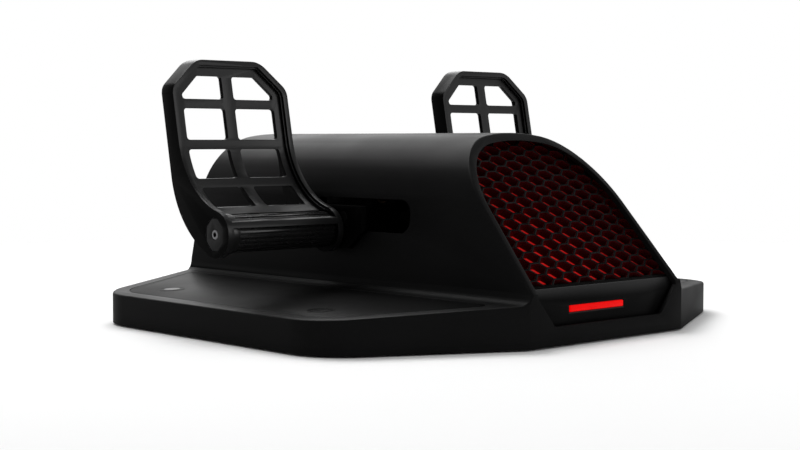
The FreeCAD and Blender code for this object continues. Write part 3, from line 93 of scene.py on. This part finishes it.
def black_finish(name, colour, roughness, gloss, grain_size, grain_depth, cloudy=0.12, turned=None):
    """Black plastic or paint: a fine grain in the surface, and a finish that is not quite even.

    The last argument is an axis, a share of the colour, a gloss and a lean. Faces square to the axis get
    that share of the colour and that gloss. This is painted shade and painted highlight for how the lamps
    fall on faces that point that way, and the change starts at that lean.
    """
    finish = bpy.data.materials.new(name)
    finish.use_nodes = True
    tree = finish.node_tree
    shader = tree.nodes["Principled BSDF"]
    shader.inputs["Specular IOR Level"].default_value = gloss
    place = tree.nodes.new("ShaderNodeTexCoord")
    grain = tree.nodes.new("ShaderNodeTexNoise")
    grain.inputs["Scale"].default_value = 1 / grain_size
    grain.inputs["Detail"].default_value = 3
    clouds = tree.nodes.new("ShaderNodeTexNoise")
    clouds.inputs["Scale"].default_value = 14
    clouds.inputs["Detail"].default_value = 4
    tint = tree.nodes.new("ShaderNodeValToRGB")
    tint.color_ramp.elements[0].position = 0.3
    tint.color_ramp.elements[1].position = 0.7
    tint.color_ramp.elements[0].color = [c * (1 - cloudy) for c in colour] + [1]
    tint.color_ramp.elements[1].color = [c * (1 + cloudy) for c in colour] + [1]
    sheen = tree.nodes.new("ShaderNodeMapRange")
    sheen.inputs["From Min"].default_value = 0.3
    sheen.inputs["From Max"].default_value = 0.7
    sheen.inputs["To Min"].default_value = roughness - 0.04
    sheen.inputs["To Max"].default_value = roughness + 0.05
    bump = tree.nodes.new("ShaderNodeBump")
    bump.inputs["Distance"].default_value = grain_depth
    bump.inputs["Strength"].default_value = 0.6
    link = tree.links.new
    link(place.outputs["Object"], grain.inputs["Vector"])
    link(place.outputs["Object"], clouds.inputs["Vector"])
    link(clouds.outputs["Fac"], tint.inputs["Fac"])
    # Painted shade and highlight: the colour and the gloss are set by which way each face points.
    if turned:
        axis, facing_share, other_gloss, start = turned
        spread = 0.7
        facing = tree.nodes.new("ShaderNodeSeparateXYZ")
        either_way = tree.nodes.new("ShaderNodeMath")
        either_way.operation = "ABSOLUTE"
        link(place.outputs["Normal"], facing.inputs["Vector"])
        link(facing.outputs[axis], either_way.inputs[0])
        shares = []
        for across, along in ((1, facing_share), (gloss, other_gloss)):
            share = tree.nodes.new("ShaderNodeMapRange")
            share.interpolation_type = "SMOOTHSTEP"
            share.inputs["From Min"].default_value = start
            share.inputs["From Max"].default_value = start + spread
            share.inputs["To Min"].default_value = across
            share.inputs["To Max"].default_value = along
            link(either_way.outputs["Value"], share.inputs["Value"])
            shares.append(share.outputs["Result"])
        shaded = tree.nodes.new("ShaderNodeVectorMath")
        shaded.operation = "SCALE"
        link(tint.outputs["Color"], shaded.inputs["Vector"])
        link(shares[0], shaded.inputs["Scale"])
        link(shaded.outputs["Vector"], shader.inputs["Base Color"])
        link(shares[1], shader.inputs["Specular IOR Level"])
    else:
        link(tint.outputs["Color"], shader.inputs["Base Color"])
    link(clouds.outputs["Fac"], sheen.inputs["Value"])
    link(sheen.outputs["Result"], shader.inputs["Roughness"])
    link(grain.outputs["Fac"], bump.inputs["Height"])
    link(bump.outputs["Normal"], shader.inputs["Normal"])
    return finish


def dress(node, finish):
    """Gives a CAD piece its finish, and leaves its shape alone."""
    slots = nodes[node].material_slots
    if len(slots):
        slots[0].material = finish
    else:
        nodes[node].data.materials.append(finish)


# Painted sheen and shade: faces of the shell that point up get much more gloss and 0.6 of the colour, and
# the walls little gloss. This gives a bright top on the hump and dark walls.
shell_black = black_finish(
    "shell_black", (0.006, 0.006, 0.0061), 0.46, 0.013, 0.0006, 0.00003, turned=("Z", 0.6, 0.085, 0.4)
)
rounded_copy("base_shell", "base", 0.0008, shell_black)

# The heel mats are flat inlays in black rubber with a fine grain, cut to the shape of the decks and
# glued into a shallow recess in each.

mat_rubber = black_finish("mat_rubber", (0.0016, 0.0016, 0.00165), 0.44, 0.035, 0.0009, 0.0001)
for side in ("left", "right"):
    rounded_copy(f"{side}_heel_pad", "base", 0.0005, mat_rubber, segments=2)

# Two round plugs in smooth rubber are pressed into each mat, almost level with it. Each is one
# moulding, with a disc inside a narrow raised ring.

plug_rubber = black_finish("plug_rubber", (0.006, 0.006, 0.0061), 0.28, 0.13, 0.0008, 0.00002)
disc_radius = 0.0066
plug_radius = 0.0105
plug_top = 0.00036
plug_foot = -0.0003
plug_profile = [
    (0, plug_top), (disc_radius, plug_top), (0.0072, 0.0002), (0.0088, 0.00006), (0.0093, 0.00006),
    (0.0095, 0.00022), (0.0103, 0.00022), (plug_radius, plug_foot), (0, plug_foot),
]
plug_places = ((0.181, 0.102), (0.1865, -0.095))
for side, way in (("left", -1), ("right", 1)):
    mat = bmesh.new()
    mat.from_mesh(nodes[f"{side}_heel_pad"].data)
    surface = BVHTree.FromBMesh(mat)
    mat.free()
    form = bmesh.new()
    for x, y in plug_places:
        place, slope = surface.ray_cast(Vector((way * x, y, 1)), Vector((0, 0, -1)))[:2]
        corners = [form.verts.new((out, 0, up)) for out, up in plug_profile]
        line = [form.edges.new(pair) for pair in zip(corners, corners[1:])]
        bmesh.ops.spin(
            form, geom=corners + line, axis=(0, 0, 1), cent=(0, 0, 0),
            angle=math.tau, steps=48, use_merge=True,
        )
        bmesh.ops.remove_doubles(form, verts=form.verts, dist=1e-6)
        fresh = [corner for corner in form.verts if corner.co.length < 2 * plug_radius]
        for face in {face for corner in fresh for face in corner.link_faces}:
            face.material_index = int(face.calc_center_median().xy.length > disc_radius)
        turn = slope.to_track_quat("Z", "Y").to_matrix().to_4x4()
        bmesh.ops.transform(form, matrix=Matrix.Translation(place) @ turn, verts=fresh)
    bmesh.ops.recalc_face_normals(form, faces=form.faces)
    mesh = bpy.data.meshes.new(f"{side}_mat_plugs")
    form.to_mesh(mesh)
    form.free()
    mesh.materials.append(plug_rubber)
    mesh.materials.append(mat_rubber)
    plugs = bpy.data.objects.new(f"{side}_mat_plugs", mesh)
    bpy.context.scene.collection.objects.link(plugs)
    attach(plugs, "base")

# The grille is one black moulding with stretched six-sided cells. A red diffuser sheet lies behind it,
# and small lamps on a board light the sheet from behind, brightest low down and left of the middle.

grille_black = black_finish("grille_black", (0.0018, 0.0017, 0.0017), 0.4, 0.02, 0.0005, 0.00003)
# Painted light: the cell walls of the black moulding are coloured dark red and a little glossier, for the
# red light of the sheet falling on them.
lit_walls = black_finish("lit_walls", (0.03, 0.0007, 0.0014), 0.4, 0.06, 0.0005, 0.00003)


def cell_walls(form):
    """The walls inside the cells, which take the second finish: dark red painted light from the sheet."""
    form.normal_update()
    outward = max(form.faces, key=lambda face: face.calc_area()).normal.copy()
    nearly_square = 0.3
    for face in form.faces:
        face.material_index = int(abs(face.normal.dot(outward)) < nearly_square)


rounded_copy("grille", "base", 0.0003, grille_black, segments=1, shaped=cell_walls, second=lit_walls)

red_sheet = bpy.data.materials.new("red_sheet")
red_sheet.use_nodes = True
tree = red_sheet.node_tree
shader = tree.nodes["Principled BSDF"]
shader.inputs["Roughness"].default_value = 0.5
shader.inputs["Emission Color"].default_value = (1, 0.012, 0.01, 1)
place = tree.nodes.new("ShaderNodeTexCoord")
centred = tree.nodes.new("ShaderNodeMapping")
centred.inputs["Location"].default_value = (0.04, 0.185, -0.05)
distance = tree.nodes.new("ShaderNodeVectorMath")
distance.operation = "LENGTH"
fading = tree.nodes.new("ShaderNodeMapRange")
fading.interpolation_type = "SMOOTHSTEP"
fading.inputs["From Min"].default_value = 0.005
fading.inputs["From Max"].default_value = 0.125
fading.inputs["To Min"].default_value = 0.34
fading.inputs["To Max"].default_value = 0.045
streaks = tree.nodes.new("ShaderNodeTexNoise")
streaks.inputs["Scale"].default_value = 60
dye = tree.nodes.new("ShaderNodeValToRGB")
dye.color_ramp.elements[0].color = (0.16, 0.004, 0.004, 1)
dye.color_ramp.elements[1].color = (0.26, 0.008, 0.007, 1)
tree.links.new(place.outputs["Object"], centred.inputs["Vector"])
tree.links.new(centred.outputs["Vector"], distance.inputs[0])
tree.links.new(distance.outputs["Value"], fading.inputs["Value"])
tree.links.new(fading.outputs["Result"], shader.inputs["Emission Strength"])
tree.links.new(place.outputs["Object"], streaks.inputs["Vector"])
tree.links.new(streaks.outputs["Fac"], dye.inputs["Fac"])
tree.links.new(dye.outputs["Color"], shader.inputs["Base Color"])
dress("glow_panel", red_sheet)

# The chin panel closes the front under the grille, with a rounded ledge on top. A plain red light bar
# is let into it, a little left of the middle.

# Painted highlight: faces of the chin that point up, along the ledge, get ten times the colour and more
# gloss, for a light band on the ledge.
chin_black = black_finish(
    "chin_black", (0.0018, 0.0018, 0.00182), 0.36, 0.018, 0.0006, 0.00003, turned=("Z", 10, 0.14, 0)
)
rounded_copy("chin_panel", "base", 0.0012, chin_black)

lit_red = bpy.data.materials.new("lit_red")
lit_red.use_nodes = True
tree = lit_red.node_tree
shader = tree.nodes["Principled BSDF"]
shader.inputs["Base Color"].default_value = (0.1, 0.0004, 0.0004, 1)
shader.inputs["Roughness"].default_value = 0.35
shader.inputs["Specular IOR Level"].default_value = 0.05
shader.inputs["Emission Color"].default_value = (0.8, 0.0002, 0.0002, 1)
place = tree.nodes.new("ShaderNodeTexCoord")
even = tree.nodes.new("ShaderNodeTexNoise")
even.inputs["Scale"].default_value = 70
strength = tree.nodes.new("ShaderNodeMapRange")
strength.inputs["To Min"].default_value = 0.75
strength.inputs["To Max"].default_value = 1.05
tree.links.new(place.outputs["Object"], even.inputs["Vector"])
tree.links.new(even.outputs["Fac"], strength.inputs["Value"])
tree.links.new(strength.outputs["Result"], shader.inputs["Emission Strength"])
rounded_copy("light_bar", "base", 0.0006, lit_red)

# Three green fibreglass boards with a glossy mask carry the lamps, the rudder sensor and the main
# circuit. The sensor board lies on the bottom plate, and the two others stand on posts.


def board_finish(name):
    finish = bpy.data.materials.new(name)
    finish.use_nodes = True
    tree = finish.node_tree
    shader = tree.nodes["Principled BSDF"]
    shader.inputs["Roughness"].default_value = 0.32
    place = tree.nodes.new("ShaderNodeTexCoord")
    weave = tree.nodes.new("ShaderNodeTexVoronoi")
    weave.inputs["Scale"].default_value = 420
    mask = tree.nodes.new("ShaderNodeValToRGB")
    mask.color_ramp.elements[0].color = (0.008, 0.09, 0.03, 1)
    mask.color_ramp.elements[1].color = (0.014, 0.14, 0.055, 1)
    tree.links.new(place.outputs["Object"], weave.inputs["Vector"])
    tree.links.new(weave.outputs["Distance"], mask.inputs["Fac"])
    tree.links.new(mask.outputs["Color"], shader.inputs["Base Color"])
    return finish


board_green = board_finish("board_green")
for node in ("lamp_board", "rudder_sensor_board", "main_board"):
    dress(node, board_green)

lamp_lens = black_finish("lamp_lens", (0.72, 0.66, 0.5), 0.25, 0.5, 0.0008, 0.00001, cloudy=0.05)
dress("lamps", lamp_lens)

# The lamp board's posts, the bearings and the screws of the bottom are turned from bright steel, with
# fine marks along them. The four guide rods are drawn steel, in a much darker tone.


def bare_metal(name, colour, roughness, mark_size, stretch):
    """Bare metal with fine tool marks, stretched along the axis whose value is smallest."""
    finish = bpy.data.materials.new(name)
    finish.use_nodes = True
    tree = finish.node_tree
    shader = tree.nodes["Principled BSDF"]
    shader.inputs["Metallic"].default_value = 1
    place = tree.nodes.new("ShaderNodeTexCoord")
    along = tree.nodes.new("ShaderNodeMapping")
    along.inputs["Scale"].default_value = stretch
    marks = tree.nodes.new("ShaderNodeTexNoise")
    marks.inputs["Scale"].default_value = 1 / mark_size
    marks.inputs["Detail"].default_value = 4
    tone = tree.nodes.new("ShaderNodeValToRGB")
    tone.color_ramp.elements[0].position = 0.3
    tone.color_ramp.elements[1].position = 0.7
    tone.color_ramp.elements[0].color = [c * 0.86 for c in colour] + [1]
    tone.color_ramp.elements[1].color = [min(1, c * 1.1) for c in colour] + [1]
    shine = tree.nodes.new("ShaderNodeMapRange")
    shine.inputs["To Min"].default_value = roughness - 0.08
    shine.inputs["To Max"].default_value = roughness + 0.1
    bump = tree.nodes.new("ShaderNodeBump")
    bump.inputs["Distance"].default_value = 0.00002
    bump.inputs["Strength"].default_value = 0.5
    link = tree.links.new
    link(place.outputs["Object"], along.inputs["Vector"])
    link(along.outputs["Vector"], marks.inputs["Vector"])
    link(marks.outputs["Fac"], tone.inputs["Fac"])
    link(tone.outputs["Color"], shader.inputs["Base Color"])
    link(marks.outputs["Fac"], shine.inputs["Value"])
    link(shine.outputs["Result"], shader.inputs["Roughness"])
    link(marks.outputs["Fac"], bump.inputs["Height"])
    link(bump.outputs["Normal"], shader.inputs["Normal"])
    return finish


turned_steel = bare_metal("turned_steel", (0.62, 0.62, 0.63), 0.3, 0.0012, (1, 0.15, 1))
for node in ("lamp_posts", "pinion_bearings", "bottom_screws"):
    dress(node, turned_steel)
darkened_rod_steel = bare_metal("darkened_rod_steel", (0.03, 0.03, 0.031), 0.34, 0.0012, (1, 0.15, 1))
for node in ("left_lower_rod", "right_lower_rod", "left_upper_rod", "right_upper_rod"):
    dress(node, darkened_rod_steel)

# The bottom is a flat steel plate in black powder coat, held up by eight screws. Six thin round feet
# in black rubber are stuck under it.

powder_black = black_finish("powder_black", (0.006, 0.006, 0.006), 0.55, 0.15, 0.0012, 0.0001)
rounded_copy("bottom_plate", "base", 0.0004, powder_black, segments=2)
foot_rubber = black_finish("foot_rubber", (0.01, 0.01, 0.01), 0.8, 0.1, 0.0007, 0.00008)
rounded_copy("rubber_feet", "base", 0.0003, foot_rubber, segments=2)

# Two folded brackets hold the guide rods. A turned pedestal between them carries the pinion on two
# bearings, and a magnet under its shaft faces the sensor board.

block_paint = black_finish("block_paint", (0.0012, 0.0012, 0.0012), 0.5, 0.012, 0.0008, 0.00003)
for node in ("front_rod_bracket", "rear_rod_bracket"):
    rounded_copy(node, "base", 0.0006, block_paint)
dress("pinion_column", block_paint)
gear_black = black_finish("gear_black", (0.0016, 0.0016, 0.0016), 0.4, 0.02, 0.0009, 0.00002)
dress("pinion", gear_black)
magnet_plate = bare_metal("magnet_plate", (0.7, 0.7, 0.7), 0.2, 0.002, (1, 1, 1))
dress("rudder_magnet", magnet_plate)

# Each pedal hangs on a carriage inside the hump: a block on two rods, with bronze bushes, a rack, two
# centring springs and an arm that comes out through the slot and holds the pedal's axle. The springs
# are wound from wire, and their outer ends rest on the rod brackets.

bronze = bare_metal("bronze", (0.09, 0.06, 0.032), 0.5, 0.0008, (1, 0.3, 1))
spring_wire = bare_metal("spring_wire", (0.42, 0.42, 0.44), 0.34, 0.0008, (1, 1, 1))
arm_paint_and_socket_shade = black_finish("arm_paint_and_socket_shade", (0.0006, 0.0006, 0.0006), 0.4, 0.01, 0.0008, 0.00003)
dark_steel = black_finish("dark_steel", (0.0015, 0.0015, 0.0015), 0.38, 0.03, 0.0008, 0.00002)
spring_ends = (("front_spring", -0.092), ("rear_spring", 0.104))
for side in ("left", "right"):
    carriage = f"{side}_carriage"
    rounded_copy(f"{side}_slide_block", carriage, 0.0008, block_paint)
    dress(f"{side}_slide_bushes", bronze)
    dress(f"{side}_rack", gear_black)
    rounded_copy(f"{side}_arm", carriage, 0.0012, arm_paint_and_socket_shade)
    rounded_copy(f"{side}_arm_screws", carriage, 0.0005, dark_steel)
    dress(f"{side}_axle", turned_steel)
    dress(f"{side}_toe_spring", spring_wire)
    for spring, fixed_end in spring_ends:
        coil = rounded_copy(f"{side}_{spring}", "base", 0, spring_wire)
        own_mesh(coil)

# The pedals are cast in black: a tray with a stepped lip round an open grid, cheeks at the sides, and a
# ribbed foot bar between the cheeks. A plate with a screw closes the outer end of the bar.

# Painted shade: faces of the frame that point sideways, the cheeks, get 0.12 of the colour and less
# gloss, so they stay dark.
pedal_paint = black_finish(
    "pedal_paint", (0.009, 0.009, 0.0092), 0.34, 0.17, 0.0007, 0.00002, turned=("X", 0.12, 0.012, 0.15)
)
# Painted highlight: a lighter, glossier black that the pedal frames' rounded edges take, for a bright
# line along every edge.
edge_highlight_black = black_finish("edge_highlight_black", (0.07, 0.07, 0.071), 0.3, 0.5, 0.0006, 0.00002)
bar_paint = black_finish("bar_paint", (0.009, 0.009, 0.0092), 0.26, 0.26, 0.0005, 0.00002)
plate_paint = black_finish("plate_paint", (0.009, 0.009, 0.0092), 0.4, 0.05, 0.0006, 0.00002)
screw_steel = bare_metal("screw_steel", (0.13, 0.13, 0.133), 0.3, 0.0006, (1, 1, 1))
cast_grey = bare_metal("cast_grey", (0.42, 0.43, 0.44), 0.46, 0.0016, (1, 1, 1))


def socket(form):
    """A round key socket, sunk in the face of the screw's head. Its floor and walls take the second
    finish, a black that paints the shade in the recess.
    """
    ring = 0.0019
    depth = 0.0011
    narrow = 0.35
    reach = max(abs(corner.co.x) for corner in form.verts)
    outer = [face for face in form.faces if abs(face.calc_center_median().x) > reach - 1e-5]
    face = max(outer, key=lambda face: face.calc_area())
    bmesh.ops.inset_individual(form, faces=[face], thickness=ring, use_even_offset=True)
    sunk = bmesh.ops.extrude_discrete_faces(form, faces=[face])["faces"][0]
    # Painted shade: the socket's floor and walls take the second finish, black.
    for wall in {side_face for corner in sunk.verts for side_face in corner.link_faces}:
        wall.material_index = 1
    inward = -1 if sunk.calc_center_median().x > 0 else 1
    middle = sunk.calc_center_median()
    bmesh.ops.scale(form, verts=sunk.verts, vec=(1, narrow, narrow), space=Matrix.Translation(-middle))
    bmesh.ops.translate(form, verts=sunk.verts, vec=(inward * depth, 0, 0))


pedal_middle = 0.1484


def round_top(form):
    """The two upper corners of the frame are rounded over, cut by cut."""
    radius = 0.022
    lean = math.radians(41.8)
    half_top = 0.0313
    cuts = 6
    least = 0.00005
    middle = math.copysign(pedal_middle, sum(corner.co.x for corner in form.verts))
    top = max(corner.co.z for corner in form.verts)
    for way in (-1, 1):
        hub = Vector((middle + way * (half_top - radius * math.tan(lean / 2)), 0, top - radius))
        for step in range(1, cuts):
            outward = Vector((way * math.sin(lean * step / cuts), 0, math.cos(lean * step / cuts)))
            edge = hub + outward * radius
            if max((corner.co - edge).dot(outward) for corner in form.verts) < least:
                continue
            every = form.verts[:] + form.edges[:] + form.faces[:]
            bmesh.ops.bisect_plane(
                form, geom=every, dist=1e-7, plane_co=edge, plane_no=outward, clear_outer=True
            )
            rim = [e for e in form.edges if e.is_boundary]
            bmesh.ops.contextual_create(form, geom=rim)


for side in ("left", "right"):
    pedal = f"{side}_pedal"
    rounded_copy(
        f"{side}_pedal_frame", pedal, 0.0008, pedal_paint,
        shaped=round_top, second=edge_highlight_black, highlit_edges=True,
    )
    rounded_copy(f"{side}_foot_bar", pedal, 0.0003, bar_paint, segments=2)
    rounded_copy(f"{side}_bar_collar", pedal, 0.0006, bar_paint)
    dress(f"{side}_axle_bushes", bronze)
    dress(f"{side}_end_insert", cast_grey)
    rounded_copy(f"{side}_end_plate", pedal, 0.0012, plate_paint)
    # The screw's socket takes the arms' black, as painted shade.
    rounded_copy(f"{side}_end_screw", pedal, 0.0003, screw_steel, shaped=socket, second=arm_paint_and_socket_shade)

# The rear port is a black plate in the back wall. The pressed metal socket behind it stands on the
# main board, which is held on brass posts.

rounded_copy("rear_port_plate", "base", 0.0004, shell_black, segments=2)
brass = bare_metal("brass", (0.68, 0.5, 0.22), 0.35, 0.0009, (1, 1, 1))
dress("board_posts", brass)
socket_metal = bare_metal("socket_metal", (0.7, 0.7, 0.72), 0.25, 0.001, (1, 1, 1))
rounded_copy("usb_socket", "base", 0.0002, socket_metal, segments=1)

# The studio: a pale floor that fades out, a white background, five soft lamps, and the camera at the
# photograph's place.

floor_form = bmesh.new()
bmesh.ops.create_grid(floor_form, x_segments=4, y_segments=4, size=8)
floor_mesh = bpy.data.meshes.new("studio_floor")
floor_form.to_mesh(floor_mesh)
floor_form.free()
floor = bpy.data.objects.new("studio_floor", floor_mesh)
bpy.context.scene.collection.objects.link(floor)
floor_pale = bpy.data.materials.new("floor_pale")
floor_pale.use_nodes = True
tree = floor_pale.node_tree
shader = tree.nodes["Principled BSDF"]
shader.inputs["Base Color"].default_value = (0.96, 0.96, 0.96, 1)
shader.inputs["Roughness"].default_value = 0.9
shader.inputs["Specular IOR Level"].default_value = 0.0
place = tree.nodes.new("ShaderNodeTexCoord")
away = tree.nodes.new("ShaderNodeVectorMath")
away.operation = "LENGTH"
fading = tree.nodes.new("ShaderNodeMapRange")
fading.interpolation_type = "SMOOTHSTEP"
fading.inputs["From Min"].default_value = 0.45
fading.inputs["From Max"].default_value = 1.1
nothing = tree.nodes.new("ShaderNodeBsdfTransparent")
edge = tree.nodes.new("ShaderNodeMixShader")
tree.links.new(place.outputs["Object"], away.inputs[0])
tree.links.new(away.outputs["Value"], fading.inputs["Value"])
tree.links.new(fading.outputs["Result"], edge.inputs["Fac"])
tree.links.new(shader.outputs["BSDF"], edge.inputs[1])
tree.links.new(nothing.outputs["BSDF"], edge.inputs[2])
tree.links.new(edge.outputs["Shader"], tree.nodes["Material Output"].inputs["Surface"])
floor_mesh.materials.append(floor_pale)

world = bpy.data.worlds.new("studio")
bpy.context.scene.world = world
world.use_nodes = True
tree = world.node_tree
lit = tree.nodes["Background"]
lit.inputs["Color"].default_value = (1, 1, 1, 1)
lit.inputs["Strength"].default_value = 0.42
seen = tree.nodes.new("ShaderNodeBackground")
seen.inputs["Strength"].default_value = 1.0
toward = tree.nodes.new("ShaderNodeTexCoord")
height = tree.nodes.new("ShaderNodeSeparateXYZ")
ceiling = tree.nodes.new("ShaderNodeValToRGB")
ceiling.color_ramp.elements[0].position = 0.35
ceiling.color_ramp.elements[0].color = (1, 1, 1, 1)
ceiling.color_ramp.elements[1].position = 0.75
ceiling.color_ramp.elements[1].color = (0.15, 0.15, 0.15, 1)
tree.links.new(toward.outputs["Generated"], height.inputs["Vector"])
tree.links.new(height.outputs["Z"], ceiling.inputs["Fac"])
tree.links.new(ceiling.outputs["Color"], seen.inputs["Color"])
ray = tree.nodes.new("ShaderNodeLightPath")
either = tree.nodes.new("ShaderNodeMath")
either.operation = "MAXIMUM"
all_three = tree.nodes.new("ShaderNodeMath")
all_three.operation = "MAXIMUM"
pick = tree.nodes.new("ShaderNodeMixShader")
tree.links.new(ray.outputs["Is Camera Ray"], either.inputs[0])
tree.links.new(ray.outputs["Is Glossy Ray"], either.inputs[1])
tree.links.new(either.outputs["Value"], all_three.inputs[0])
tree.links.new(ray.outputs["Is Transmission Ray"], all_three.inputs[1])
tree.links.new(all_three.outputs["Value"], pick.inputs["Fac"])
tree.links.new(lit.outputs["Background"], pick.inputs[1])
tree.links.new(seen.outputs["Background"], pick.inputs[2])
tree.links.new(pick.outputs["Shader"], tree.nodes["World Output"].inputs["Surface"])


def soft_lamp(name, place, aim, size, power):
    lamp = bpy.data.lights.new(name, "AREA")
    lamp.shape = "RECTANGLE"
    lamp.size, lamp.size_y = size
    lamp.energy = power
    holder = bpy.data.objects.new(name, lamp)
    holder.location = place
    holder.rotation_euler = (Vector(aim) - Vector(place)).to_track_quat("-Z", "Y").to_euler()
    bpy.context.scene.collection.objects.link(holder)


soft_lamp("top_lamp", (0.2, 0.8, 1.7), (0, 0, 0), (1.4, 1.1), 27)
soft_lamp("back_lamp", (0.9, 1.7, 1.1), (0, 0, 0.1), (1.8, 1.0), 10)
soft_lamp("left_lamp", (-1.9, 0.5, 1.2), (0, 0, 0.1), (1.0, 1.0), 2.5)
soft_lamp("front_lamp", (0.7, -1.9, 0.7), (0, 0, 0.1), (1.2, 0.8), 10)
soft_lamp("right_lamp", (1.5, -0.2, 1.5), (0, 0, 0.1), (1.0, 0.8), 1.5)

view = bpy.data.cameras.new("photo_view")
view.lens = 67.477
view.sensor_width = 36
camera = bpy.data.objects.new("photo_view", view)
camera.location = (-0.8765, -0.9247, 0.1505)
camera.rotation_euler = (math.radians(90 - 3.242), 0, math.radians(-42.792))
bpy.context.scene.collection.objects.link(camera)
bpy.context.scene.camera = camera
bpy.context.scene.view_settings.view_transform = "Standard"
